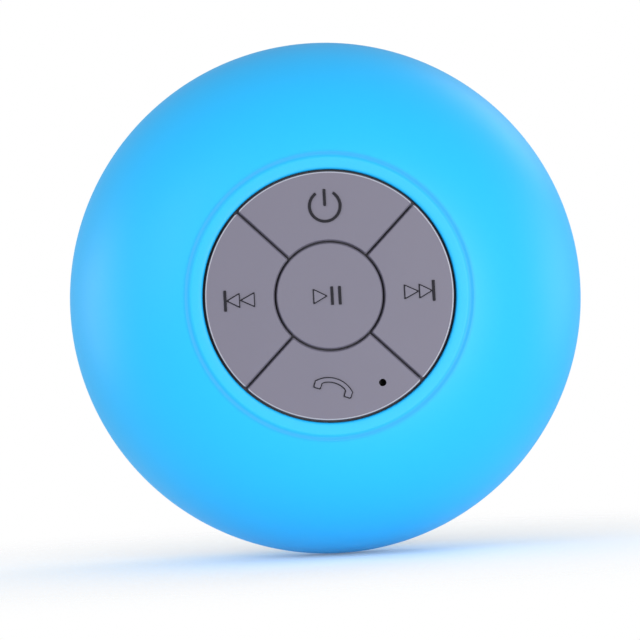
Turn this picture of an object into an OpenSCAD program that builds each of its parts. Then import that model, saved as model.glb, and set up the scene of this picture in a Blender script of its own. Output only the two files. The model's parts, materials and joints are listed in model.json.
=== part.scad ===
// Round waterproof shower speaker with a suction cup on its back.
// Millimetres. Wall plane at Y = 0, keypad faces -Y, +Z is up.
// Each piece is drawn along +Z (wall at z = 0, keypad on top) and turned at the end.

/* [Body] */
// Height of the widest circle of the body above the wall
eq_z = 28.5; // [26:0.5:31]
// Radius of the front edge arc of the skin
front_arc = 26.77; // [26.6:0.01:27]
// Where the front edge arc is centred, from the axis
front_arc_x = 16.23; // [16:0.01:16.5]
// Radius of the rear edge arc of the skin
rear_arc = 14.8; // [14.5:0.05:15]
// Where the rear edge arc is centred, from the axis
rear_arc_x = 28.2; // [28:0.05:28.5]
// Thickness of the skin
skin_t = 1.8; // [1.5:0.1:1.85]
// Thickness of the housing wall
wall_t = 2; // [1.6:0.1:2.4]
// Height of the flat front land of the skin
land_z = 54.4; // [54:0.1:54.8]
// Height of the rear face of the housing
back_z = 13; // [12.8:0.1:13.1]
// Height of the joint between the two housing shells
part_z = 27; // [26:0.5:28]

/* [Keypad] */
// Outer radius of the keypad
pad_r = 20.05; // [19.9:0.05:20.1]
// Radius of the opening in the skin
open_r = 20.45; // [20.45:0.05:21]
// Radius of the centre key
mid_r = 8.5; // [8:0.05:9.2]
// Width of the gaps between keys
gap = 0.5; // [0.45:0.05:0.8]
// Width of the slit between the feet of the keys
slit = 0.25; // [0.2:0.05:0.4]
// Height of the key tops
pad_z = 55; // [54.8:0.1:55.2]
// How far a key goes in
key_travel = 0.6; // [0.3:0.1:0.6]
// Height of the raised symbols
mark_h = 0.3; // [0.1:0.05:0.35]
// Distance of the outer symbols and switches from the axis
mark_r = 14.5; // [14:0.1:15]

/* [Suction cup] */
// Radius of the suction cup
cup_r = 30; // [28:0.5:30]
// Height of the boss of the cup
cup_h = 9.5; // [9:0.1:9.6]
// Radius of the stud neck
neck_r = 5.03; // [5:0.01:5.05]

/* [Hidden] */
$fn = 96;
deck_z = 52;        // top of the deck under the keypad
deck_low = 50.4;    // underside of the deck
t_h = skin_t + 0.1;
t_i = t_h + wall_t;
foot_z = 54.3;      // top of the wider foot of a key
post_low = 50;      // foot of a key post, top of a switch plunger
board_z = 46;       // underside of the main board
board_t = 1.6;
sw_top = 49.2;
key_xy = [[0, mark_r], [-mark_r, 0], [mark_r, 0], [0, -mark_r], [0, 0]];
mic_xy = [7.83, -14.4];
port_y = -26;       // centre of the charging jack
hinge_y = -29.9;    // fold line of the plug

// ---------- helpers
module cyl(r, z0, z1, x = 0, y = 0) { translate([x, y, z0]) cylinder(r = r, h = z1 - z0); }
module slab(x0, x1, y0, y1, z0, z1) { translate([x0, y0, z0]) cube([x1 - x0, y1 - y0, z1 - z0]); }
module tube(ro, ri, z0, z1, x = 0, y = 0) {
  translate([x, y, z0]) linear_extrude(height = z1 - z0) difference() { circle(r = ro); circle(r = ri); }
}
module band(z0, z1, r0, r1) { translate([r0, z0]) square([r1 - r0, z1 - z0]); }
// half outline of the body, shrunk by t: the front part up to z1, the rear part from z0
module front2d(t, z0, z1) {
  intersection() { translate([front_arc_x, eq_z]) circle(r = front_arc - t); band(z0, z1, 8, 60); }
  band(z0, z1, 0, front_arc_x);
}
module rear2d(t, z0, z1) {
  intersection() { translate([rear_arc_x, eq_z]) circle(r = rear_arc - t); band(z0, z1, 20, 60); }
  band(z0, z1, 0, rear_arc_x);
}
module dome2d(t, z0, z1) { front2d(t, eq_z, z1); rear2d(t, z0, eq_z); }
module turned() { rotate_extrude() children(); }
module fours(r, a0 = 45) { for (a = [a0, a0 + 90, a0 + 180, a0 + 270]) rotate([0, 0, a]) translate([r, 0, 0]) children(); }
module threes(r, a0 = 90) { for (a = [a0, a0 + 120, a0 + 240]) rotate([0, 0, a]) translate([r, 0, 0]) children(); }
function unit(v) = v / norm(v);
// a round wire of radius r along the points p; ref is a direction the wire never runs in
module wire(p, r, ref) {
  n = len(p);
  pts = [for (i = [0 : n - 1])
    let (t = unit(p[min(i + 1, n - 1)] - p[max(i - 1, 0)]),
         u = unit(cross(t, ref)), v = cross(t, u))
    for (k = [0 : 7]) p[i] + r * (cos(45 * k) * u + sin(45 * k) * v)];
  side = [for (i = [0 : n - 2]) for (k = [0 : 7])
    let (a = 8 * i + k, b = 8 * i + (k + 1) % 8) each [[a, a + 8, b], [b, a + 8, b + 8]]];
  ends = [[for (k = [0 : 7]) k], [for (k = [7 : -1 : 0]) 8 * (n - 1) + k]];
  polyhedron(points = pts, faces = concat(side, ends));
}

// ---------- skin and housing
module silicone_skin() color([0.24, 0.72, 0.95]) rotate([90, 0, 0]) turned() difference() {
  dome2d(0, 15, land_z);
  dome2d(skin_t, 15.6, 53.3);
  band(14, 16.6, -1, 32.5);
  band(45, 60, -1, open_r);
  band(land_z - 0.25, 60, 22.5, 23.3);
}

module front_housing() color([0.30, 0.30, 0.33]) rotate([90, 0, 0]) difference() {
  union() {
    rotate([0, 0, 22.5]) turned() difference() {
      union() { front2d(t_h, eq_z, 53.2); rear2d(t_h, part_z, eq_z); }
      union() { front2d(t_i, eq_z, deck_low); rear2d(t_i, part_z - 1, eq_z); }
      band(deck_z, 60, -1, 20.5);
    }
    fours(29) cyl(3.2, part_z + 0.02, 38);
    intersection() {
      fours(0) slab(30.6, 42, -1, 1, 28.6, 36.8);
      turned() front2d(t_h + 0.5, 28, 40);
    }
    fours(19.5) cyl(2, board_z + board_t + 0.02, deck_low + 0.3);
  }
  fours(29) cyl(1.28, 20, 36.5);
  fours(19.5) cyl(0.98, 40, 51.2);
  for (p = key_xy) cyl(2, 40, 60, p[0], p[1]);
  cyl(0.8, 40, 60, mic_xy[0], mic_xy[1]);
}

module rear_housing() color([0.52, 0.51, 0.58]) rotate([90, 0, 0]) difference() {
  union() {
    difference() {
      turned() difference() {
        union() { rear2d(t_h, 15.7, part_z); band(back_z, 16.5, 0, 32.4); }
        rear2d(t_i, 17.6, part_z + 1);
        band(15, 18, -1, rear_arc_x);
        band(part_z - 0.7, 30, 39.45, 40.35);
      }
      // sound slots
      translate([0, 0, 10]) linear_extrude(height = 10)
        for (i = [0 : 15]) rotate(22.5 * i) translate([9.8, -0.9]) square([7.4, 1.8]);
    }
    turned() { band(14.9, 18.1, 18.2, 20.4); band(14.9, 20.35, 20.3, 23.8); }
    fours(29) cyl(3.35, 14.5, part_z - 0.02);
    slab(-8, 8, -29, -21, 14.9, 15.6);
    for (x = [-5.5, 5.5]) cyl(2.1, 17.2, 21.22, x, -31);
  }
  cyl(5.1, 5, 16);
  fours(29) { cyl(2.4, 5, 18); cyl(1.35, 5, 40); }
  threes(22) cyl(0.98, 15.6, 30);
  for (x = [-5.5, 5.5]) cyl(0.98, 17, 30, x, -31);
  // plug recess, its neck, a fingernail notch and the jack opening
  slab(-6.5, 6.5, -30.4, -22.4, 5, 14.3);
  slab(-3.3, 3.3, -31.9, -30.3, 5, 14.3);
  intersection() { cyl(2.4, 5, 14.3, 0, -22.1); slab(-5, 5, -22.5, -19.4, 0, 20); }
  slab(-4.3, 4.3, port_y - 1.9, port_y + 1.9, 5, 20);
  cyl(0.85, 5, 16.9, 0, -31.1);
}

module housing_seal() color([0.12, 0.12, 0.13]) rotate([90, 0, 0])
  turned() band(part_z - 0.68, part_z - 0.02, 39.5, 40.3);

module keypad_membrane() color([0.16, 0.16, 0.18]) rotate([90, 0, 0]) difference() {
  cyl(20.4, deck_z + 0.02, 52.6);
  for (p = key_xy) cyl(1.66, 40, 60, p[0], p[1]);
  cyl(0.8, 40, 60, mic_xy[0], mic_xy[1]);
}

// ---------- keys
module key2d(a, g) {
  difference() {
    intersection() {
      circle(r = pad_r);
      rotate(a) translate([g * 0.7071, 0]) polygon([[0, 0], [30, -30], [30, 30]]);
    }
    circle(r = mid_r + (gap + g) / 2);
  }
}
// the cap has a wider foot, so the gap is a shallow groove over a narrow slit
module outer_key(a) {
  linear_extrude(height = foot_z - 53.4) key2d(a, slit);
  linear_extrude(height = pad_z - 53.4) key2d(a, gap);
}
module post(i) { cyl(1.6, post_low, 53.5, key_xy[i][0], key_xy[i][1]); }
module mark() { translate([0, 0, pad_z - 0.05]) linear_extrude(height = mark_h + 0.05) children(); }
// triangle pointing +x, w long and h high
module tri2d(x, w, h) { translate([x, 0]) polygon([[0, -h / 2], [0, h / 2], [w, 0]]); }
module skip2d() {
  tri2d(-2.45, 2.5, 2.5);
  tri2d(-0.05, 2.3, 2.5);
  translate([2.1, -1.7]) square([0.45, 3.4]);
}

module key_power() color([0.53, 0.52, 0.60]) rotate([90, 0, 0]) {
  translate([0, 0, 53.4]) outer_key(90);
  post(0);
  mark() translate([0, mark_r]) {
    difference() {
      circle(r = 2.7);
      circle(r = 2.25);
      translate([-1.5, 0]) square([3, 4]);
    }
    translate([-0.22, 0]) square([0.44, 2.75]);
  }
}
module key_previous() color([0.53, 0.52, 0.60]) rotate([90, 0, 0]) {
  translate([0, 0, 53.4]) outer_key(180);
  post(1);
  mark() translate([-mark_r, 0]) rotate(180) skip2d();
}
module key_next() color([0.53, 0.52, 0.60]) rotate([90, 0, 0]) {
  translate([0, 0, 53.4]) outer_key(0);
  post(2);
  mark() translate([mark_r, 0]) skip2d();
}
module key_call() color([0.53, 0.52, 0.60]) rotate([90, 0, 0]) {
  difference() {
    translate([0, 0, 53.4]) outer_key(270);
    cyl(0.6, 40, 60, mic_xy[0], mic_xy[1]);
  }
  post(3);
  // handset: a bow with two pads
  mark() translate([0, -mark_r]) rotate(-20) {
    intersection() {
      translate([0, -3.2]) difference() { circle(r = 4.5); circle(r = 3.55); }
      translate([-3.1, -0.4]) square([6.2, 3]);
    }
    for (x = [-2.55, 2.55]) translate([x - 0.65, -1.3]) square([1.3, 1.6]);
  }
}
module key_play_pause() color([0.53, 0.52, 0.60]) rotate([90, 0, 0]) {
  cyl(mid_r + (gap - slit) / 2, 53.4, foot_z);
  cyl(mid_r, 53.4, pad_z);
  post(4);
  mark() {
    tri2d(-2.65, 2.4, 2.6);
    translate([0.2, -1.5]) square([0.45, 3]);
    translate([1.45, -1.5]) square([0.45, 3]);
  }
}
module plunger(i) { cyl(1.25, 48.6, post_low, key_xy[i][0], key_xy[i][1]); }
module switch_plunger_power() color([0.1, 0.1, 0.1]) rotate([90, 0, 0]) plunger(0);
module switch_plunger_previous() color([0.1, 0.1, 0.1]) rotate([90, 0, 0]) plunger(1);
module switch_plunger_next() color([0.1, 0.1, 0.1]) rotate([90, 0, 0]) plunger(2);
module switch_plunger_call() color([0.1, 0.1, 0.1]) rotate([90, 0, 0]) plunger(3);
module switch_plunger_play_pause() color([0.1, 0.1, 0.1]) rotate([90, 0, 0]) plunger(4);

// ---------- main board
module tact_switches() color([0.6, 0.6, 0.62]) rotate([90, 0, 0])
  for (p = key_xy) difference() {
    slab(p[0] - 2.5, p[0] + 2.5, p[1] - 2.5, p[1] + 2.5, board_z + board_t, sw_top);
    cyl(1.3, 47.9, 60, p[0], p[1]);
  }
module main_pcb() color([0.08, 0.36, 0.2]) rotate([90, 0, 0]) difference() {
  cyl(22, board_z, board_z + board_t);
  fours(19.5) cyl(1.1, 40, 60);
}
module pcb_screws() color([0.7, 0.7, 0.72]) rotate([90, 0, 0]) fours(19.5) {
  difference() { cyl(1.8, 44.8, board_z); slab(-1.2, 1.2, -0.2, 0.2, 44, 45.3); }
  cyl(0.95, 45.5, 50.8);
}
module radio_module() color([0.72, 0.72, 0.74]) rotate([90, 0, 0]) {
  slab(-15, -3, -7, 6, 45.2, board_z);
  slab(-14, -4, -4, 5, 43.6, 45.3);
}
module ic_chips() color([0.1, 0.1, 0.11]) rotate([90, 0, 0]) {
  slab(2, 8, -3, 3, 44.9, board_z);
  slab(11, 14, -2, 2, 44.9, board_z);
  slab(-2, 2, 8, 11, 45, board_z);
}
module capacitors() color([0.75, 0.6, 0.3]) rotate([90, 0, 0]) {
  cyl(2, 42.6, board_z, 10, -10);
  cyl(2, 42.6, board_z, 5, -12);
}
module microphone_capsule() color([0.75, 0.75, 0.76]) rotate([90, 0, 0])
  cyl(2, board_z + board_t, 48.8, mic_xy[0], mic_xy[1]);
module microphone_boot() color([0.12, 0.12, 0.13]) rotate([90, 0, 0])
  tube(2, 0.8, 48.8, deck_low - 0.02, mic_xy[0], mic_xy[1]);

// ---------- battery
module battery_cell() color([0.75, 0.77, 0.8]) rotate([90, 0, 0]) {
  slab(-15, 14, -10, 10, 35, 40.5);
  slab(14, 15, -9, 9, 35.6, 39.9);
}
module battery_pad() color([0.15, 0.15, 0.15]) rotate([90, 0, 0]) cyl(9.5, 34, 35);
module battery_leads() color([0.8, 0.1, 0.1]) rotate([90, 0, 0]) {
  wire([[15.05, 1.8, 38.5], [16.2, 1.8, 38.5], [18.4, 2.8, 39.6], [19.6, 5.5, 41.2], [19, 8.5, 42.7],
        [16.5, 11, 44], [13, 11.5, 44.3], [10.7, 11.6, 44.3], [10.2, 12, 44.3], [10.2, 12.75, 44.3]], 0.45, [0.2, -0.4, 1]);
  wire([[15.05, 0.2, 38.5], [16.4, 0.2, 38.5], [19.3, 2.2, 39.2], [20.8, 5.2, 40.2], [20.2, 8.9, 41.6],
        [17, 11.4, 42.8], [13, 11.6, 43], [8.1, 11.6, 43], [7.6, 12, 43], [7.6, 12.75, 43]], 0.45, [0.2, -0.4, 1]);
}
module battery_connector() color([0.92, 0.9, 0.84]) rotate([90, 0, 0])
  slab(5.5, 11.5, 12.8, 17.2, 42.6, board_z);
module speaker_connector() color([0.92, 0.9, 0.84]) rotate([90, 0, 0])
  slab(-11.5, -5.5, 12.8, 17.2, 42.6, board_z);

// ---------- loudspeaker, facing the wall
module speaker_basket() color([0.2, 0.2, 0.21]) rotate([90, 0, 0]) {
  difference() {
    turned() polygon([[17.4, 19], [20, 19], [20, 20.4], [18.8, 20.4], [13.6, 26.5], [7.2, 26.5],
      [7.2, 25.4], [12.7, 25.4], [13.05, 24.9], [12, 24.9], [12, 24.2], [13.8, 24.2], [17.4, 20.4]]);
    for (a = [45 : 90 : 315]) rotate([0, 0, a]) slab(13.6, 25, -4.5, 4.5, 20.8, 23.8);
  }
  slab(-19.4, -17.6, -3, 3, 20.41, 23);
}
module speaker_top_plate() color([0.65, 0.65, 0.67]) rotate([90, 0, 0]) tube(10, 6.6, 26.52, 28.5);
module speaker_magnet() color([0.18, 0.18, 0.19]) rotate([90, 0, 0]) tube(10.4, 7.6, 28.5, 32);
module speaker_yoke() color([0.65, 0.65, 0.67]) rotate([90, 0, 0]) { cyl(10.4, 32, 34); cyl(5.6, 26, 32.5); }
module voice_coil() color([0.75, 0.42, 0.2]) rotate([90, 0, 0]) tube(6.3, 5.92, 23.3, 29);
module spider() color([0.72, 0.6, 0.35]) rotate([90, 0, 0]) turned()
  polygon([[6.32, 23.95], [7.5, 23.95], [8.5, 23.65], [9.5, 23.95], [10.5, 23.65], [11.5, 23.95], [13.2, 23.95],
    [13.2, 24.15], [11.5, 24.15], [10.5, 23.85], [9.5, 24.15], [8.5, 23.85], [7.5, 24.15], [6.32, 24.15]]);
module speaker_cone() color([0.22, 0.22, 0.23]) rotate([90, 0, 0]) turned()
  polygon([[6.34, 23.4], [14.6, 19.6], [14.6, 19.95], [6.34, 23.75]]);
module dust_cap() color([0.1, 0.1, 0.1]) rotate([90, 0, 0]) turned() intersection() {
  translate([0, 32.32]) difference() { circle(r = 11.42); circle(r = 11.07); }
  band(20, 23.12, 0, 9);
}
module speaker_surround() color([0.08, 0.08, 0.08]) rotate([90, 0, 0]) turned() {
  intersection() {
    translate([15.8, 19.3]) difference() { circle(r = 1.4); circle(r = 1.1); }
    band(17, 19.3, 14, 18);
  }
  band(19.2, 19.57, 14.42, 14.68);
  band(18.68, 18.98, 17.0, 18.8);
}
module speaker_gasket() color([0.1, 0.1, 0.1]) rotate([90, 0, 0]) tube(20.2, 18.3, 18.12, 18.66);
module speaker_clamp_ring() color([0.2, 0.2, 0.21]) rotate([90, 0, 0]) difference() {
  tube(23.7, 18.9, 20.42, 21.6);
  threes(22) cyl(1.1, 10, 30);
  slab(-19.6, -17, -3.4, 3.4, 20, 22);
}
module speaker_screws() color([0.7, 0.7, 0.72]) rotate([90, 0, 0]) threes(22) {
  difference() { cyl(1.6, 21.6, 22.8); slab(-1.1, 1.1, -0.2, 0.2, 22.3, 24); }
  cyl(0.95, 16, 22);
}
module speaker_leads() color([0.15, 0.15, 0.16]) rotate([90, 0, 0]) {
  wire([[-19.45, 1.7, 22.15], [-20.2, 1.7, 22.15], [-21.3, 2.1, 23.6], [-22, 3.4, 29], [-21.8, 6, 36], [-20, 8.5, 40.5],
        [-16.5, 10.8, 43.4], [-12.8, 11.4, 44.3], [-10.3, 11.6, 44.3], [-9.8, 12, 44.3], [-9.8, 12.75, 44.3]], 0.45, [0.2, -0.4, 1]);
  wire([[-19.45, 0, 22.15], [-20.4, 0, 22.15], [-21.8, 0.3, 23.4], [-22.8, 1.8, 29], [-22.9, 5.2, 35], [-21.8, 9, 38.6],
        [-18.6, 12, 41.2], [-13.4, 12.1, 42.9], [-7.7, 11.9, 43], [-7.2, 12.2, 43], [-7.2, 12.75, 43]], 0.45, [0.2, -0.4, 1]);
}
module water_mesh() color([0.25, 0.25, 0.26]) rotate([90, 0, 0]) tube(17.9, 9.3, 15.02, 15.25);

module housing_screws() color([0.7, 0.7, 0.72]) rotate([90, 0, 0]) fours(29) {
  difference() {
    cyl(2.2, 16.2, 18);
    slab(-1.5, 1.5, -0.3, 0.3, 15, 17);
    slab(-0.3, 0.3, -1.5, 1.5, 15, 17);
  }
  cyl(1.25, 17.5, 36);
}

// ---------- charging port
module charging_jack() color([0.8, 0.8, 0.82]) rotate([90, 0, 0]) {
  difference() {
    slab(-3.75, 3.75, port_y - 1.4, port_y + 1.4, 15.7, 21.22);
    slab(-3.4, 3.4, port_y - 1.05, port_y + 1.05, 15, 20.2);
  }
  slab(-1.8, 1.8, port_y - 0.3, port_y + 0.3, 17, 20.3);
}
module charging_board() color([0.08, 0.36, 0.2]) rotate([90, 0, 0]) difference() {
  slab(-7.8, 7.8, -33.3, -24.3, 21.24, 22.24);
  for (x = [-5.5, 5.5]) cyl(1.1, 10, 30, x, -31);
}
module charging_screws() color([0.7, 0.7, 0.72]) rotate([90, 0, 0]) for (x = [-5.5, 5.5]) {
  difference() { cyl(1.7, 22.24, 23.4, x, -31); slab(x - 1.1, x + 1.1, -31.2, -30.8, 22.9, 24); }
  cyl(0.95, 17.2, 22.6, x, -31);
}
module charging_leads() color([0.8, 0.1, 0.1]) rotate([90, 0, 0]) for (d = [-1, 1])
  wire([[1.2 * d, -29, 22.28], [1.2 * d, -29, 23], [1.3 * d, -29.6, 25], [1.5 * d, -30.4, 29], [1.6 * d, -29.6, 35],
        [1.6 * d, -26.5, 40], [1.5 * d, -22.8, 43], [1.3 * d, -20.4, 44.6], [1.3 * d, -20, 45.2], [1.3 * d, -20, 45.95]], 0.45, [1, 0.1, 0.1]);

module port_plug() color([0.53, 0.52, 0.60]) rotate([90, 0, 0]) {
  translate([0, 0, back_z]) linear_extrude(height = 1.2) polygon([[-6.2, -29.4], [-5.5, -30.2], [5.5, -30.2], [6.2, -29.4],
    [6.2, -23.9], [5, -22.7], [-5, -22.7], [-6.2, -23.9]]);
  slab(-4, 4, port_y - 1.6, port_y + 1.1, 14, 15.6);
}
module port_plug_anchor() color([0.53, 0.52, 0.60]) rotate([90, 0, 0]) {
  slab(-3, 3, -31.7, -30.5, back_z, 14.2);
  cyl(0.8, 14, 16.6, 0, -31.1);
}

// ---------- wall fixing
module stud_socket() color([0.2, 0.2, 0.21]) rotate([90, 0, 0]) difference() {
  cyl(8.6, 15.02, 18.6);
  cyl(6.72, 10, 17.4);
}
module cup_stud() color([0.9, 0.9, 0.9]) rotate([90, 0, 0]) {
  cyl(3.55, cup_h - 2.45, cup_h + 1);
  cyl(neck_r, cup_h + 0.02, 15.5);
  cyl(6.4, 15.16, 17.2);
}
module suction_cup() color([0.45, 0.8, 0.95]) rotate([90, 0, 0]) {
  turned() polygon([[0, 5.6], [8, 5.4], [14, 4.8], [18, 4], [22, 2.8], [25.5, 1.3], [28, 0], [cup_r, 0], [cup_r, 1],
    [27, 2.5], [23, 4.1], [19, 5.5], [15, 6.7], [11, 7.7], [8, 8.4], [6.8, cup_h], [3.6, cup_h], [3.6, 7], [0, 7]]);
  translate([0, 0, 0.6]) linear_extrude(height = 1.4) difference() {
    union() { translate([-4.5, 28.2]) square([9, 6]); intersection() { translate([0, 34.1]) circle(r = 4.5); translate([-5, 34]) square([10, 6]); } }
    translate([0, 34.6]) circle(r = 1.6);
  }
}

silicone_skin();
front_housing();
rear_housing();
housing_seal();
keypad_membrane();
key_power();
key_previous();
key_next();
key_call();
key_play_pause();
switch_plunger_power();
switch_plunger_previous();
switch_plunger_next();
switch_plunger_call();
switch_plunger_play_pause();
tact_switches();
main_pcb();
pcb_screws();
radio_module();
ic_chips();
capacitors();
microphone_capsule();
microphone_boot();
battery_cell();
battery_pad();
battery_leads();
battery_connector();
speaker_basket();
speaker_top_plate();
speaker_magnet();
speaker_yoke();
voice_coil();
spider();
speaker_cone();
dust_cap();
speaker_surround();
speaker_gasket();
speaker_clamp_ring();
speaker_screws();
speaker_leads();
speaker_connector();
water_mesh();
housing_screws();
charging_jack();
charging_board();
charging_screws();
charging_leads();
port_plug();
port_plug_anchor();
stud_socket();
cup_stud();
suction_cup();
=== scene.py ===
# Round shower speaker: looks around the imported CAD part. Lengths below are in
# millimetres of the device: x to the right, y up, z out of the wall towards the keypad.
import math
import random

import bmesh
import bpy
from mathutils import Matrix, Vector
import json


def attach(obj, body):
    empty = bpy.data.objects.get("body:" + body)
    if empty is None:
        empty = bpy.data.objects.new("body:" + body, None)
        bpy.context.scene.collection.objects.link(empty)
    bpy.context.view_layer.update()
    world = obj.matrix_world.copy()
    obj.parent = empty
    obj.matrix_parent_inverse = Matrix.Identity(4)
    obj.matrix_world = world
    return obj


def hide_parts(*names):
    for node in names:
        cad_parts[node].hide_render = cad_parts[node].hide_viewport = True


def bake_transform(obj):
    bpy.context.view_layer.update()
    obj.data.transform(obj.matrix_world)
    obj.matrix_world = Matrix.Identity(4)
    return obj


random.seed(7)
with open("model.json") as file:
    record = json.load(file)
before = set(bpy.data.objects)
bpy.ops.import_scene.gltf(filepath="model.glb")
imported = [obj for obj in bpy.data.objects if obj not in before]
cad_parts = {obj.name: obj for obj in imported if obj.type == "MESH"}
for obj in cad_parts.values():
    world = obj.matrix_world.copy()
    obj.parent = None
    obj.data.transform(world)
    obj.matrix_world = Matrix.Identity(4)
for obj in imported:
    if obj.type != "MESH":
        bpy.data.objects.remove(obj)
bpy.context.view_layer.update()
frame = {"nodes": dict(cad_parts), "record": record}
NODES = frame["nodes"]
COL = bpy.context.scene.collection


def P(x, y, z):
    """A device point in millimetres, in the row frame in metres."""
    return Vector((x * 0.001, -z * 0.001, y * 0.001))


# ------------------------------------------------------------------ materials
def nodes_of(name):
    m = bpy.data.materials.new(name)
    m.use_nodes = True
    nt = m.node_tree
    b = next(n for n in nt.nodes if n.type == "BSDF_PRINCIPLED")
    return m, nt, b


def plain(name, colour, rough=0.5, metal=0.0, spec=0.5, bump=0.0, scale=900.0, vary=0.0, rvary=0.0,
          coat=0.0, sheen=0.0, sss=0.0, sss_scale=0.003, trans=0.0, ior=1.5, alpha=1.0):
    """A principled material with fine procedural variation in object space."""
    m, nt, b = nodes_of(name)
    b.inputs["Base Color"].default_value = (*colour, 1)
    b.inputs["Roughness"].default_value = rough
    b.inputs["Metallic"].default_value = metal
    b.inputs["Specular IOR Level"].default_value = spec
    b.inputs["IOR"].default_value = ior
    b.inputs["Coat Weight"].default_value = coat
    b.inputs["Sheen Weight"].default_value = sheen
    b.inputs["Transmission Weight"].default_value = trans
    b.inputs["Alpha"].default_value = alpha
    if sss:
        b.inputs["Subsurface Weight"].default_value = sss
        b.inputs["Subsurface Radius"].default_value = (0.4, 0.8, 1.0)
        b.inputs["Subsurface Scale"].default_value = sss_scale
    L = nt.links.new
    if bump or vary or rvary:
        tc = nt.nodes.new("ShaderNodeTexCoord")
        nz = nt.nodes.new("ShaderNodeTexNoise")
        nz.inputs["Scale"].default_value = scale
        nz.inputs["Detail"].default_value = 4
        L(tc.outputs["Object"], nz.inputs["Vector"])
        if bump:
            bp = nt.nodes.new("ShaderNodeBump")
            bp.inputs["Strength"].default_value = bump
            bp.inputs["Distance"].default_value = 0.0001
            L(nz.outputs["Fac"], bp.inputs["Height"])
            L(bp.outputs["Normal"], b.inputs["Normal"])
        if vary:
            nl = nt.nodes.new("ShaderNodeTexNoise")
            nl.inputs["Scale"].default_value = 60
            nl.inputs["Detail"].default_value = 3
            L(tc.outputs["Object"], nl.inputs["Vector"])
            ramp = nt.nodes.new("ShaderNodeValToRGB")
            lo = tuple(c * (1 - vary) for c in colour)
            hi = tuple(min(1, c * (1 + vary)) for c in colour)
            ramp.color_ramp.elements[0].color = (*lo, 1)
            ramp.color_ramp.elements[0].position = 0.35
            ramp.color_ramp.elements[1].color = (*hi, 1)
            ramp.color_ramp.elements[1].position = 0.65
            L(nl.outputs["Fac"], ramp.inputs["Fac"])
            L(ramp.outputs["Color"], b.inputs["Base Color"])
        if rvary:
            mr = nt.nodes.new("ShaderNodeMapRange")
            mr.inputs["To Min"].default_value = max(0, rough - rvary)
            mr.inputs["To Max"].default_value = min(1, rough + rvary)
            nr = nt.nodes.new("ShaderNodeTexNoise")
            nr.inputs["Scale"].default_value = 140
            L(tc.outputs["Object"], nr.inputs["Vector"])
            L(nr.outputs["Fac"], mr.inputs["Value"])
            L(mr.outputs["Result"], b.inputs["Roughness"])
    return m


M = {}
M["skin_blue"] = plain("skin_blue", (0.013, 0.410, 0.82), 0.47, spec=0.28, bump=0.12, scale=1400, rvary=0.03, sss=0.06)
M["keypad_grey"] = plain("keypad_grey", (0.130, 0.121, 0.164), 0.5, spec=0.4, bump=0.1, scale=1500, rvary=0.03)
# painted shade: nearly black, for the shaded flanks of the raised key symbols
M["symbol_painted_shade"] = plain("symbol_painted_shade", (0.012, 0.011, 0.016), 0.6, spec=0.15)
# painted highlight: a lighter grey for the keys' rounded outer edge, standing in for the light it catches
M["key_edge_highlight"] = plain("key_edge_highlight", (0.34, 0.34, 0.39), 0.4, spec=0.5)
M["membrane_dark"] = plain("membrane_dark", (0.07, 0.068, 0.085), 0.6)
M["housing_grey"] = plain("housing_grey", (0.215, 0.205, 0.27), 0.48, bump=0.25, scale=1100, rvary=0.05)
M["housing_dark"] = plain("housing_dark", (0.055, 0.055, 0.062), 0.5, bump=0.25, scale=1100, rvary=0.05)
M["seal_black"] = plain("seal_black", (0.02, 0.02, 0.022), 0.55)
M["switch_metal"] = plain("switch_metal", (0.62, 0.62, 0.63), 0.35, 1.0, rvary=0.08)
M["black_plastic"] = plain("black_plastic", (0.018, 0.018, 0.02), 0.45, bump=0.2)
M["board_green"] = plain("board_green", (0.012, 0.13, 0.05), 0.35, coat=0.4, vary=0.15)
M["screw_steel"] = plain("screw_steel", (0.6, 0.6, 0.62), 0.28, 1.0, rvary=0.08)
M["shield_metal"] = plain("shield_metal", (0.72, 0.72, 0.73), 0.32, 1.0, rvary=0.08)
M["chip_black"] = plain("chip_black", (0.014, 0.014, 0.016), 0.4)
M["capacitor_tan"] = plain("capacitor_tan", (0.5, 0.3, 0.09), 0.4)
M["battery_foil"] = plain("battery_foil", (0.62, 0.64, 0.67), 0.38, 0.9, rvary=0.1, bump=0.3, scale=500)
M["foam_black"] = plain("foam_black", (0.02, 0.02, 0.021), 0.9, bump=0.8, scale=1500)
M["wire_red"] = plain("wire_red", (0.55, 0.015, 0.012), 0.4)
M["wire_black"] = plain("wire_black", (0.015, 0.015, 0.016), 0.4)
M["connector_white"] = plain("connector_white", (0.78, 0.74, 0.64), 0.4)
M["magnet_dark"] = plain("magnet_dark", (0.05, 0.05, 0.052), 0.5, 0.3, bump=0.3)
M["plate_steel"] = plain("plate_steel", (0.55, 0.55, 0.57), 0.3, 1.0, rvary=0.08)
M["coil_copper"] = plain("coil_copper", (0.62, 0.22, 0.08), 0.3, 1.0)
M["spider_cloth"] = plain("spider_cloth", (0.42, 0.27, 0.09), 0.8, bump=0.8, scale=2600)
M["cone_paper"] = plain("cone_paper", (0.035, 0.035, 0.037), 0.8, bump=0.7, scale=1200)
M["dust_black"] = plain("dust_black", (0.014, 0.014, 0.015), 0.4)
M["surround_rubber"] = plain("surround_rubber", (0.014, 0.014, 0.015), 0.5)
M["mesh_cloth"] = plain("mesh_cloth", (0.03, 0.03, 0.032), 0.85, bump=1.0, scale=3200)
M["jack_steel"] = plain("jack_steel", (0.68, 0.68, 0.69), 0.25, 1.0)
M["stud_plastic"] = plain("stud_plastic", (0.62, 0.70, 0.76), 0.35, sss=0.2, sss_scale=0.002)
M["cup_clear_blue"] = plain("cup_clear_blue", (0.42, 0.80, 0.97), 0.13, spec=0.5, trans=0.82, ior=1.44, rvary=0.04)

record = frame["record"]
slot_of = {s["node"]: s["material_slot"] for s in record["subparts"]}


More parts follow.
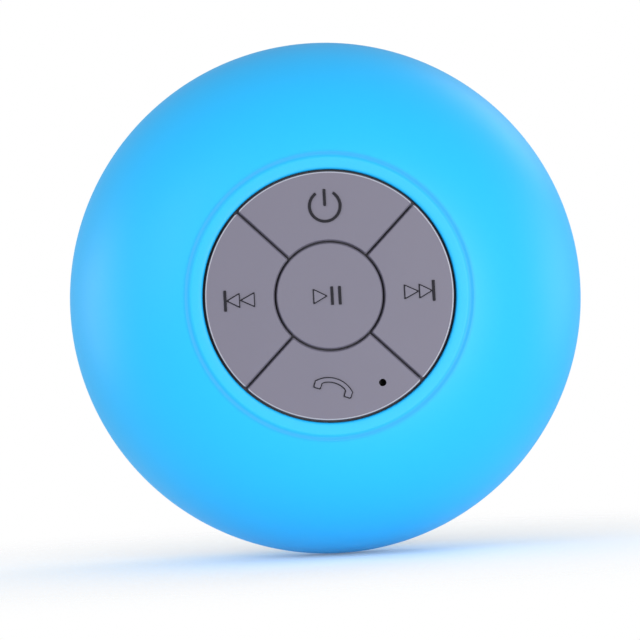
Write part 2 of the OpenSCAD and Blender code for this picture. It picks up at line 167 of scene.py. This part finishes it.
def paint_groove_shade(m, radius, half, keep):
    """Paints shade into the base colour of a material: a soft darker ring about the device axis, the painted shade of
    a groove.
    """
    nt = m.node_tree
    b = next(n for n in nt.nodes if n.type == "BSDF_PRINCIPLED")
    base = tuple(b.inputs["Base Color"].default_value)[:3]
    tc, sx = nt.nodes.new("ShaderNodeTexCoord"), nt.nodes.new("ShaderNodeSeparateXYZ")
    cx, ln = nt.nodes.new("ShaderNodeCombineXYZ"), nt.nodes.new("ShaderNodeVectorMath")
    ln.operation = "LENGTH"
    sub, ab = nt.nodes.new("ShaderNodeMath"), nt.nodes.new("ShaderNodeMath")
    sub.operation, ab.operation = "SUBTRACT", "ABSOLUTE"
    sub.inputs[1].default_value = radius
    mr, ramp = nt.nodes.new("ShaderNodeMapRange"), nt.nodes.new("ShaderNodeValToRGB")
    mr.interpolation_type = "SMOOTHSTEP"
    mr.inputs["From Max"].default_value = half
    ramp.color_ramp.elements[0].color = (*(c * keep for c in base), 1)
    ramp.color_ramp.elements[1].color = (*base, 1)
    L = nt.links.new
    L(tc.outputs["Object"], sx.inputs[0])
    L(sx.outputs["X"], cx.inputs["X"])
    L(sx.outputs["Z"], cx.inputs["Z"])
    L(cx.outputs[0], ln.inputs[0])
    L(ln.outputs["Value"], sub.inputs[0])
    L(sub.outputs[0], ab.inputs[0])
    L(ab.outputs[0], mr.inputs["Value"])
    L(mr.outputs["Result"], ramp.inputs["Fac"])
    L(ramp.outputs["Color"], b.inputs["Base Color"])


# painted shade: the skin's base colour is darkened in a soft ring at the keypad groove's radius
paint_groove_shade(M["skin_blue"], 0.0231, 0.0008, 0.76)
M["mic_felt"] = plain("mic_felt", (0.2, 0.2, 0.21), 0.9, bump=0.6, scale=2200)
own_look = {"microphone_capsule": "mic_felt"}
for name, ob in NODES.items():
    ob.data.materials.clear()
    ob.data.materials.append(M[own_look.get(name, slot_of[name])])


# ------------------------------------------------------------------ mesh helpers
def add(name, me, slot, body, *replaced, sharp=32, mats=None):
    ob = bpy.data.objects.new(name, me)
    COL.objects.link(ob)
    for m in mats or [slot]:
        me.materials.append(M[m])
    smooth(me, sharp)
    if body:
        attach(ob, body)
    if replaced:
        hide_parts(*replaced)
    return ob


def smooth(me, degrees):
    """Smooth shading with edges sharper than that many degrees kept sharp."""
    bm = bmesh.new()
    bm.from_mesh(me)
    limit = math.radians(degrees)
    for f in bm.faces:
        f.smooth = len(f.verts) <= 4
    for e in bm.edges:
        e.smooth = not (len(e.link_faces) == 2 and e.calc_face_angle(0) > limit)
    bm.to_mesh(me)
    bm.free()


def fillet(pts, radii, steps=6):
    """A closed (a, b) outline with its corners rounded; radii gives one radius for each corner."""
    out, n = [], len(pts)
    for i, p in enumerate(pts):
        r = radii[i] if isinstance(radii, (list, tuple)) else radii
        p, a, b = Vector(p), Vector(pts[i - 1]), Vector(pts[(i + 1) % n])
        u, v = a - p, b - p
        if r <= 0 or u.length < 1e-9 or v.length < 1e-9:
            out.append(tuple(p))
            continue
        u, v = u.normalized(), v.normalized()
        half = math.acos(max(-1, min(1, u.dot(v)))) / 2
        if half > math.radians(88) or half < 0.02:
            out.append(tuple(p))
            continue
        d = min(r / math.tan(half), (Vector(a) - p).length * 0.49, (Vector(b) - p).length * 0.49)
        r = d * math.tan(half)
        c = p + (u + v).normalized() * (r / math.sin(half))
        s, e = p + u * d - c, p + v * d - c
        turn = math.atan2(s.x * e.y - s.y * e.x, s.dot(e))
        for k in range(steps + 1):
            t = turn * k / steps
            out.append((c.x + s.x * math.cos(t) - s.y * math.sin(t), c.y + s.x * math.sin(t) + s.y * math.cos(t)))
    return out


def lathe(name, prof, n=160):
    """A closed (r, z) profile turned about the device axis. Points with r = 0 become poles."""
    bm = bmesh.new()
    rings = []
    for r, z in prof:
        if r < 1e-6:
            rings.append([bm.verts.new(P(0, 0, z))])
        else:
            rings.append([bm.verts.new(P(r * math.cos(2 * math.pi * k / n), r * math.sin(2 * math.pi * k / n), z)) for k in range(n)])
    for i in range(len(rings)):
        a, b = rings[i], rings[(i + 1) % len(rings)]
        if len(a) == 1 and len(b) == 1:
            continue
        for k in range(n):
            q = (k + 1) % n
            f = [a[k % len(a)], a[q % len(a)], b[q % len(b)], b[k % len(b)]]
            f = [v for j, v in enumerate(f) if v not in f[:j]]
            try:
                bm.faces.new(f)
            except ValueError:
                pass
    bmesh.ops.recalc_face_normals(bm, faces=bm.faces)
    me = bpy.data.meshes.new(name)
    bm.to_mesh(me)
    bm.free()
    return me


def arc(cx, cz, r, a0, a1, n):
    """Points on a circle from angle a0 to a1 in degrees; 0 is +r and 90 is +z."""
    return [(cx + r * math.cos(math.radians(a0 + (a1 - a0) * k / n)), cz + r * math.sin(math.radians(a0 + (a1 - a0) * k / n))) for k in range(n + 1)]


def inset(pts, d):
    """The outline moved inwards by d. pts run anticlockwise."""
    out, n = [], len(pts)
    for i in range(n):
        p, a, b = Vector(pts[i]), Vector(pts[i - 1]), Vector(pts[(i + 1) % n])
        u, v = (p - a), (b - p)
        if u.length < 1e-7:
            u = v
        if v.length < 1e-7:
            v = u
        u, v = u.normalized(), v.normalized()
        nu, nv = Vector((-u.y, u.x)), Vector((-v.y, v.x))
        m = nu + nv
        m = m / max(0.35, m.length_squared / 2) if m.length > 1e-6 else nu
        out.append((p.x + m.x * d, p.y + m.y * d))
    return out


def area(pts):
    return sum(pts[i - 1][0] * pts[i][1] - pts[i][0] * pts[i - 1][1] for i in range(len(pts))) / 2


def pad(bm, pts, z0, z1, b=0.3, steps=4, low=0.0, rim=0.0, mat=0):
    """A flat piece with that outline between z0 and z1, its top edge rounded by b and its lower edge by low."""
    if area(pts) < 0:
        pts = pts[::-1]
    layers = []
    if low:
        for k in range(steps + 1):
            t = math.pi / 2 * (1 - k / steps)
            layers.append((inset(pts, low * (1 - math.cos(t))), z0 + low * (1 - math.sin(t))))
    else:
        layers.append((pts, z0))
    for k in range(steps + 1):
        t = math.pi / 2 * k / steps
        layers.append((inset(pts, b * (1 - math.cos(t))), z1 - b + b * math.sin(t)))
    if rim:
        layers.append((inset(layers[-1][0], rim), z1))
    rings = [[bm.verts.new(P(x, y, z)) for x, y in ps] for ps, z in layers]
    for a, c in zip(rings, rings[1:]):
        for k in range(len(a)):
            q = (k + 1) % len(a)
            bm.faces.new((a[k], a[q], c[q], c[k])).material_index = mat
    bm.faces.new(rings[0][::-1]).material_index = mat
    bm.faces.new(rings[-1]).material_index = mat


def drum(bm, r, z0, z1, x=0, y=0, n=48, b=0.0):
    pts = [(x + r * math.cos(2 * math.pi * k / n), y + r * math.sin(2 * math.pi * k / n)) for k in range(n)]
    pad(bm, pts, z0, z1, b=max(b, 1e-3), steps=4 if b else 1)


def done(bm, name):
    bmesh.ops.recalc_face_normals(bm, faces=bm.faces)
    me = bpy.data.meshes.new(name)
    bm.to_mesh(me)
    bm.free()
    return me


def cut(me, cutters, name):
    """me less the cutters, as a new mesh."""
    base = bpy.data.objects.new("cut_base", me)
    COL.objects.link(base)
    tools = []
    for c in cutters:
        t = bpy.data.objects.new("cut_tool", c)
        COL.objects.link(t)
        tools.append(t)
        md = base.modifiers.new("b", "BOOLEAN")
        md.operation, md.solver, md.object = "DIFFERENCE", "EXACT", t
    dg = bpy.context.evaluated_depsgraph_get()
    out = bpy.data.meshes.new_from_object(base.evaluated_get(dg))
    out.name = name
    for t in [base, *tools]:
        bpy.data.objects.remove(t)
    return out


# ------------------------------------------------------------------ blue skin
FC, FR, RC, RR, EQ = 16.23, 26.77, 28.2, 14.8, 28.5
ang = lambda r, z, cx: math.degrees(math.atan2(z - EQ, r - cx))
rear_a = -math.degrees(math.asin((EQ - 15.05) / RR))
front_a = math.degrees(math.acos((23.52 - FC) / FR))
outer = [(32.56, 15.6), (32.6, 15.25), (32.75, 15.08), (33.1, 15.02), (33.9, 15.02)]
outer += arc(RC, EQ, RR - 0.01, rear_a + 0.6, 0, 26)
outer += arc(FC, EQ, FR - 0.01, 1.5, front_a, 60)
# a shallow soft groove where the dome meets the flat land
groove = []
for i in range(1, 15):
    gr = 23.5 - 1.2 * i / 15
    base_z = min(54.39, EQ + math.sqrt((FR - 0.01) ** 2 - (gr - FC) ** 2))
    groove.append((gr, base_z - 0.15 * math.cos(math.pi / 2 * (gr - 22.9) / 0.6) ** 2))
groove.append((22.2, 54.39))
lip = [(21.4, 54.39), (20.95, 54.38), (20.75, 54.35), (20.6, 54.27), (20.5, 54.13), (20.46, 53.9), (20.46, 53.1)]
inner = arc(FC, EQ, FR - 1.8, math.degrees(math.acos((20.65 - FC) / (FR - 1.8))), 1.5, 40)
inner += arc(RC, EQ, RR - 1.8, 0, -math.degrees(math.asin((EQ - 15.8) / (RR - 1.8))), 20)
tail = [(32.2, 16.62), (32.56, 16.62)]
inner = [p for p in inner if not (p[1] < 16.7 and p[0] < 33.3)]
prof = outer + groove + lip + inner + [(32.56, 16.7)]
skin = add("skin", lathe("skin", prof, 224), "skin_blue", "housing", "silicone_skin", sharp=50)

# ------------------------------------------------------------------ keys
PAD_R, MID_R, GAP, SLIT, TOP, FOOT, BOT, MH, MR = 20.05, 8.5, 0.5, 0.25, 55.0, 54.3, 53.4, 0.3, 14.5


def sector(a, g):
    """The outline of an outer key with gaps g wide: two arcs and two straight sides, corners rounded."""
    h, ri = g / 2, MID_R + (GAP + g) / 2
    a1 = 45 - math.degrees(math.asin(h / PAD_R))
    a2 = 45 - math.degrees(math.asin(h / ri))
    d1, d2 = math.degrees(0.8 / PAD_R), math.degrees(0.8 / ri)
    at = lambda r, t: (r * math.cos(math.radians(a + t)), r * math.sin(math.radians(a + t)))
    pts = [at(PAD_R, -a1)] + [at(PAD_R, -a1 + d1 + 2 * (a1 - d1) * k / 72) for k in range(73)] + [at(PAD_R, a1)]
    pts += [at(ri, a2)] + [at(ri, a2 - d2 - 2 * (a2 - d2) * k / 40) for k in range(41)] + [at(ri, -a2)]
    return fillet_some(pts, {0: 0.32, 74: 0.32, 75: 0.32, 117: 0.32})


def fillet_some(pts, corner, steps=5):
    """Rounds only the numbered corners of a finely drawn outline."""
    out, n = [], len(pts)
    for i, p in enumerate(pts):
        if i not in corner:
            out.append(p)
            continue
        p = Vector(p)
        u, v = (Vector(pts[i - 1]) - p).normalized(), (Vector(pts[(i + 1) % n]) - p).normalized()
        half = math.acos(max(-1, min(1, u.dot(v)))) / 2
        d = corner[i]
        r = d * math.tan(half)
        c = p + (u + v).normalized() * (r / math.sin(half))
        s, e = p + u * d - c, p + v * d - c
        turn = math.atan2(s.x * e.y - s.y * e.x, s.dot(e))
        for k in range(steps + 1):
            t = turn * k / steps
            out.append((c.x + s.x * math.cos(t) - s.y * math.sin(t), c.y + s.x * math.sin(t) + s.y * math.cos(t)))
    return out


def box2(x0, y0, x1, y1):
    return [(x0, y0), (x1, y0), (x1, y1), (x0, y1)]


def tri2(x, w, h, m=0.0):
    """A triangle pointing +x, moved in by m on each side."""
    leg = math.hypot(w, h / 2)
    ri = w * h / (h + 2 * leg)
    k = (ri - m) / ri
    return fillet([(x + ri - ri * k, -h / 2 * k), (x + ri + (w - ri) * k, 0), (x + ri - ri * k, h / 2 * k)], 0.1, 3)


def moved(pts, dx, dy, turn=0.0):
    c, s = math.cos(math.radians(turn)), math.sin(math.radians(turn))
    return [(x * c - y * s + dx, x * s + y * c + dy) for x, y in pts]


def bow(cx, cy, ro, ri, a0, a1, n=32):
    o = [(cx + ro * math.cos(math.radians(a0 + (a1 - a0) * k / n)), cy + ro * math.sin(math.radians(a0 + (a1 - a0) * k / n))) for k in range(n + 1)]
    i = [(cx + ri * math.cos(math.radians(a1 + (a0 - a1) * k / n)), cy + ri * math.sin(math.radians(a1 + (a0 - a1) * k / n))) for k in range(n + 1)]
    return o + i


def handset(m):
    """A bow with two pads, moved in by m."""
    at = lambda r, t: (r * math.cos(math.radians(t)), -3.2 + r * math.sin(math.radians(t)))
    pts = [at(4.45 - m, 44 + 92 * i / 32) for i in range(33)]
    pts += [(-3.2 + m, -0.35), (-3.2 + m, -1.28 + m), (-1.92 - m, -1.28 + m), (-1.92 - m, -0.25)]
    pts += [at(3.55 + m, 118 - 56 * i / 16) for i in range(17)]
    pts += [(1.92 + m, -0.25), (1.92 + m, -1.28 + m), (3.2 - m, -1.28 + m), (3.2 - m, -0.35)]
    r = [0.0] * len(pts)
    for i in (34, 35, 55, 56):
        r[i] = 0.2
    return fillet(pts, r, 3)


BARS = lambda *xs: [fillet(box2(x, -h, x + 0.45, h), 0.12, 3) for x, h in xs]
gap_a = math.degrees(math.asin(1.5 / 2.7))
RIM_M = 0.17
# raised shapes of each key in a nearly black material, painted shade standing in for the shadow on their flanks, and
# the key-coloured faces on top of the wide ones
MARKS = {
    "power": [moved(bow(0, 0, 2.7, 2.25, 90 + gap_a, 450 - gap_a, 64), 0, MR), moved(fillet(box2(-0.22, 0, 0.22, 2.75), 0.15, 3), 0, MR)],
    "previous": [moved(p, -MR, 0, 180) for p in [tri2(-2.45, 2.5, 2.5), tri2(-0.05, 2.3, 2.5)] + BARS((2.1, 1.7))],
    "next": [moved(p, MR, 0) for p in [tri2(-2.45, 2.5, 2.5), tri2(-0.05, 2.3, 2.5)] + BARS((2.1, 1.7))],
    "play_pause": [tri2(-2.65, 2.4, 2.6)] + BARS((0.2, 1.5), (1.45, 1.5)),
    "call": [moved(handset(0), 0, -MR, -20)],
}
TOPS = {
    "power": [],
    "previous": [moved(tri2(x, w, 2.5, RIM_M), -MR, 0, 180) for x, w in ((-2.45, 2.5), (-0.05, 2.3))],
    "next": [moved(tri2(x, w, 2.5, RIM_M), MR, 0) for x, w in ((-2.45, 2.5), (-0.05, 2.3))],
    "play_pause": [tri2(-2.65, 2.4, 2.6, RIM_M)],
    "call": [moved(handset(RIM_M), 0, -MR, -20)],
}
KEYS = {"power": (0, MR, 90), "previous": (-MR, 0, 180), "next": (MR, 0, 0), "call": (0, -MR, 270), "play_pause": (0, 0, None)}
MIC = (7.83, -14.4)
for k, (kx, ky, a) in KEYS.items():
    bm = bmesh.new()
    ring = lambda r: [(r * math.cos(2 * math.pi * i / 120), r * math.sin(2 * math.pi * i / 120)) for i in range(120)]
    wide, pts = (ring(MID_R + (GAP - SLIT) / 2), ring(MID_R)) if a is None else (sector(a, SLIT), sector(a, GAP))
    # one closed skin: foot, step, rounded top
    wide, pts = (w if area(w) > 0 else w[::-1] for w in (wide, pts))
    layers = [(inset(wide, 0.1), BOT), (wide, BOT + 0.1), (wide, FOOT - 0.08), (inset(wide, 0.08), FOOT), (pts, FOOT + 0.02)]
    for i in range(7):
        t = math.pi / 2 * i / 6
        layers.append((inset(pts, 0.2 * (1 - math.cos(t))), TOP - 0.2 + 0.2 * math.sin(t)))
    rings = [[bm.verts.new(P(x, y, z)) for x, y in ps] for ps, z in layers]
    for p0, p1 in zip(rings, rings[1:]):
        for i in range(len(p0)):
            j = (i + 1) % len(p0)
            f = bm.faces.new((p0[i], p0[j], p1[j], p1[i]))
            # a painted highlight: the rounded edge along the outside of the pad gets a lighter material
            mid = f.calc_center_median() * 1000
            if math.hypot(mid.x, mid.z) > PAD_R - 0.22 and -mid.y > TOP - 0.14:
                f.material_index = 2
    bm.faces.new(rings[0][::-1])
    bm.faces.new(rings[-1])
    me = done(bm, "cap_" + k)
    if k == "call":
        bm = bmesh.new()
        drum(bm, 0.6, 50, 60, *MIC, n=32)
        me = cut(me, [done(bm, "t")], "cap_call")
    bm = bmesh.new()
    bm.from_mesh(me)
    drum(bm, 1.6, 50.0, BOT + 0.2, kx, ky, n=40)
    for mk in MARKS[k]:
        # painted shade: the raised symbols are nearly black, so a thin dark rim shows round the key-coloured tops
        pad(bm, mk, TOP - 0.06, TOP + MH - 0.04, b=0.06, steps=2, mat=1)
    for mk in TOPS[k]:
        pad(bm, mk, TOP + MH - 0.1, TOP + MH - 0.005, b=0.03, steps=2)
    me = done(bm, "key_cap_" + k)
    add("keycap_" + k, me, "keypad_grey", f"key_{k}_body", f"key_{k}", sharp=38, mats=["keypad_grey", "symbol_painted_shade", "key_edge_highlight"])

# ------------------------------------------------------------------ suction cup
under = [(0, 5.6), (8, 5.4), (14, 4.8), (18, 4.0), (22, 2.8), (25.5, 1.3), (28, 0.0)]
over = [(30, 1.0), (27, 2.5), (23, 4.1), (19, 5.5), (15, 6.7), (11, 7.7), (8, 8.4), (6.8, 9.5)]


def smooth_line(pts, n):
    """A curve through the points (Catmull-Rom), n steps a span."""
    out = []
    for i in range(len(pts) - 1):
        p0, p1, p2, p3 = (Vector(pts[max(i - 1, 0)]), Vector(pts[i]), Vector(pts[i + 1]), Vector(pts[min(i + 2, len(pts) - 1)]))
        for k in range(n):
            t = k / n
            q = 0.5 * ((2 * p1) + (p2 - p0) * t + (2 * p0 - 5 * p1 + 4 * p2 - p3) * t * t + (3 * p1 - p0 - 3 * p2 + p3) * t ** 3)
            out.append((max(q.x, 0), q.y))
    out.append(tuple(pts[-1]))
    return out


cup_prof = smooth_line(under, 4) + [(29.3, 0.0), (29.8, 0.12), (30, 0.4), (29.97, 0.8)] + smooth_line([(29.9, 1.0)] + over[1:-1], 4)
cup_prof += [(7.4, 8.75), (7.1, 9.1), (6.95, 9.35), (6.75, 9.48), (3.75, 9.5), (3.6, 9.4), (3.6, 7.0), (0, 7.0)]
bm = bmesh.new()
tab = [(-4.5, 27.6), (4.5, 27.6)] + [(4.5 * math.cos(math.radians(t)), 34.1 + 4.5 * math.sin(math.radians(t))) for t in range(0, 181, 7)]
pad(bm, tab, 0.6, 2.0, b=0.35, steps=3, low=0.35)
tab_me = done(bm, "tab")
bm = bmesh.new()
drum(bm, 1.6, -1, 4, 0, 34.6, n=32)
tab_me = cut(tab_me, [done(bm, "t")], "tab")
cup_me = lathe("cup", cup_prof, 160)
base = bpy.data.objects.new("cup_base", cup_me)
COL.objects.link(base)
other = bpy.data.objects.new("tab_tool", tab_me)
COL.objects.link(other)
md = base.modifiers.new("u", "BOOLEAN")
md.operation, md.solver, md.object = "UNION", "EXACT", other
cup_all = bpy.data.meshes.new_from_object(base.evaluated_get(bpy.context.evaluated_depsgraph_get()))
bpy.data.objects.remove(base)
bpy.data.objects.remove(other)
cup = add("wall_suction_cup", cup_all, "cup_clear_blue", None, "suction_cup", sharp=40)
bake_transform(cup)

# ------------------------------------------------------------------ speaker surround and spider
# Both are clamped outside and follow the cone inside. They are built as segments, each a wedge of the ring; two
# neighbours meet along the edge they share.
def segment(name, prof, a0, a1, n):
    """A closed (r, z) profile turned from angle a0 to a1, with both ends capped."""
    bm = bmesh.new()
    rows = []
    for k in range(n + 1):
        c, q = math.cos(math.radians(a0 + (a1 - a0) * k / n)), math.sin(math.radians(a0 + (a1 - a0) * k / n))
        rows.append([bm.verts.new(P(r * c, r * q, z)) for r, z in prof])
    for a, b in zip(rows, rows[1:]):
        for k in range(len(prof)):
            q = (k + 1) % len(prof)
            bm.faces.new((a[k], a[q], b[q], b[k]))
    bm.faces.new(rows[0])
    bm.faces.new(rows[-1][::-1])
    return done(bm, name)


def flexing(name, prof, mat, node, count=12):
    half = 180 / count
    for i in range(count):
        mid_a = 360 / count * i
        ob = add(f"{name}_{i + 1:02d}", segment(name, prof, mid_a - half, mid_a + half, 8), mat, None, node, sharp=40)
        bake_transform(ob)


ROLL_R, ROLL_Z = 15.8, 19.3
roll = arc(ROLL_R, ROLL_Z, 1.39, 180, 333.9, 24)
roll += [(18.78, 18.69), (18.78, 18.97), (17.17, 18.97), (17.19, 19.29), (16.9, 19.29)]
roll += arc(ROLL_R, ROLL_Z, 1.1, 358, 182, 24)
roll += [(14.68, 19.56), (14.43, 19.56)]
flexing("surround_roll", roll, "surround_rubber", "speaker_surround")
wave = lambda r: 24.05 - (0.15 - 0.15 * math.cos(math.pi * (r - 7.5)) if 7.5 < r < 11.5 else 0)
radii = [6.33 + (13.19 - 6.33) * i / 56 for i in range(57)]
cloth = [(r, wave(r) - 0.095) for r in radii] + [(r, wave(r) + 0.095) for r in radii[::-1]]
flexing("spider_cloth", cloth, "spider_cloth", "spider")

# ------------------------------------------------------------------ rear housing, its outer edges rounded
def softened(node, is_edge, width, limit=40):
    """A copy of a CAD node's mesh with the chosen sharp edges rounded."""
    bm = bmesh.new()
    bm.from_mesh(NODES[node].data)
    bm.transform(NODES[node].matrix_world)
    bmesh.ops.remove_doubles(bm, verts=bm.verts, dist=1e-6)
    bmesh.ops.dissolve_limit(bm, angle_limit=math.radians(0.5), verts=bm.verts, edges=bm.edges)
    sharp = [e for e in bm.edges if len(e.link_faces) == 2 and e.calc_face_angle(0) > math.radians(limit) and is_edge(e)]
    bmesh.ops.bevel(bm, geom=sharp, offset=width, segments=3, profile=0.5, affect="EDGES", clamp_overlap=True)
    bmesh.ops.triangulate(bm, faces=[f for f in bm.faces if len(f.verts) > 4])
    return done(bm, node + "_soft")


on_back = lambda e: all(-v.co.y * 1000 < 13.01 for v in e.verts)
add("rear_shell", softened("rear_housing", on_back, 0.00025), "housing_grey", "housing", "rear_housing", sharp=35)

# ------------------------------------------------------------------ port plug and its anchor
bm = bmesh.new()
body = fillet([(-6.2, -30.2), (6.2, -30.2), (6.2, -22.7), (-6.2, -22.7)], [0.8, 0.8, 2.2, 2.2], 6)
pad(bm, body, 13.0, 14.2, b=0.12, steps=3, low=0.3)
nub = fillet(box2(-4, -27.6, 4, -24.9), 0.5, 4)
pad(bm, nub, 14.0, 15.6, b=0.3, steps=3)
for i in range(5):
    pad(bm, fillet(box2(-2.6, -23.85 - 0.55 * i - 0.12, 2.6, -23.85 - 0.55 * i + 0.12), 0.1, 2), 12.98, 13.2, b=0.05, steps=2)
add("plug_body", done(bm, "plug_body"), "keypad_grey", "plug", "port_plug", sharp=38)
bm = bmesh.new()
pad(bm, fillet(box2(-3, -31.7, 3, -30.5), 0.3, 4), 13.0, 14.2, b=0.1, steps=3, low=0.25)
drum(bm, 0.8, 14.1, 16.6, 0, -31.1, n=24, b=0.2)
add("plug_anchor", done(bm, "plug_anchor"), "keypad_grey", "housing", "port_plug_anchor", sharp=38)

# ------------------------------------------------------------------ stage
cam_d, focal = 0.60, 200.2
centre = P(0, 0, EQ)
tilt, lift = math.radians(1.46), math.radians(0.7)
pos = centre + cam_d * Vector((-math.sin(tilt), -math.cos(tilt), -math.sin(lift))).normalized()
cam_data = bpy.data.cameras.new("camera")
cam = bpy.data.objects.new("camera", cam_data)
COL.objects.link(cam)
fwd = (centre - pos).normalized()
right = fwd.cross(Vector((0, 0, 1))).normalized()
up = right.cross(fwd)
rot = Matrix((right, up, -fwd)).transposed().to_4x4()
cam.matrix_world = Matrix.Translation(pos) @ rot @ Matrix.Rotation(math.radians(-3.0), 4, "Z")
cam_data.lens, cam_data.sensor_width = focal, 36
cam_data.shift_x, cam_data.shift_y = -5.5 / 640, -22.0 / 640
cam_data.clip_start, cam_data.clip_end = 0.01, 20
bpy.context.scene.camera = cam

world = bpy.data.worlds.new("world")
bpy.context.scene.world = world
world.use_nodes = True
wn, wl = world.node_tree.nodes, world.node_tree.links
wn.clear()
out = wn.new("ShaderNodeOutputWorld")
mix = wn.new("ShaderNodeMixShader")
lp = wn.new("ShaderNodeLightPath")
seen, lit = wn.new("ShaderNodeBackground"), wn.new("ShaderNodeBackground")
seen.inputs[0].default_value, seen.inputs[1].default_value = (1, 1, 1, 1), 1.0
lit.inputs[0].default_value, lit.inputs[1].default_value = (0.93, 0.96, 1, 1), 0.62
wl.new(lp.outputs["Is Camera Ray"], mix.inputs[0])
wl.new(lit.outputs[0], mix.inputs[1])
wl.new(seen.outputs[0], mix.inputs[2])
wl.new(mix.outputs[0], out.inputs[0])


def soft_light(name, pos, target, size, power, colour=(1, 1, 1)):
    d = bpy.data.lights.new(name, "AREA")
    d.shape, d.size, d.energy, d.color = "DISK", size, power, colour
    o = bpy.data.objects.new(name, d)
    COL.objects.link(o)
    o.location = pos
    o.rotation_mode = "QUATERNION"
    o.rotation_quaternion = (Vector(target) - Vector(pos)).to_track_quat("-Z", "Y")
    return o


soft_light("key", (0.28, -0.75, -0.02), centre, 0.5, 5.0)
soft_light("fill", (-0.5, -0.55, 0.25), centre, 0.5, 1.5)
soft_light("back", (0.55, 0.55, 0.5), centre, 0.5, 1.3)
soft_light("left_rim", (-0.6, 0.12, 0.03), centre, 0.4, 1.3)
soft_light("right_rim", (0.6, 0.12, 0.03), centre, 0.4, 0.9)

# a white floor that fades into the white surroundings
bm = bmesh.new()
bmesh.ops.create_circle(bm, cap_ends=True, segments=96, radius=0.9)
me = bpy.data.meshes.new("floor")
bm.to_mesh(me)
bm.free()
floor = bpy.data.objects.new("floor", me)
COL.objects.link(floor)
floor.location = (0, -0.0285, -0.0431)
fm, nt, b = nodes_of("floor_white")
b.inputs["Base Color"].default_value = (0.93, 0.93, 0.93, 1)
b.inputs["Roughness"].default_value = 0.9
b.inputs["Specular IOR Level"].default_value = 0.1
b.inputs["Emission Color"].default_value = (1, 1, 1, 1)
b.inputs["Emission Strength"].default_value = 0.12
tr = nt.nodes.new("ShaderNodeBsdfTransparent")
mx = nt.nodes.new("ShaderNodeMixShader")
tc = nt.nodes.new("ShaderNodeTexCoord")
ln = nt.nodes.new("ShaderNodeVectorMath")
ln.operation = "LENGTH"
mr = nt.nodes.new("ShaderNodeMapRange")
mr.interpolation_type = "SMOOTHSTEP"
mr.inputs["From Min"].default_value, mr.inputs["From Max"].default_value = 0.0, 0.13
mo = next(n for n in nt.nodes if n.type == "OUTPUT_MATERIAL")
nt.links.new(tc.outputs["Object"], ln.inputs[0])
nt.links.new(ln.outputs["Value"], mr.inputs["Value"])
nt.links.new(mr.outputs["Result"], mx.inputs[0])
nt.links.new(b.outputs[0], mx.inputs[1])
nt.links.new(tr.outputs[0], mx.inputs[2])
nt.links.new(mx.outputs[0], mo.inputs["Surface"])
me.materials.append(fm)

scene = bpy.context.scene
scene.view_settings.view_transform = "Standard"
scene.view_settings.look = "None"
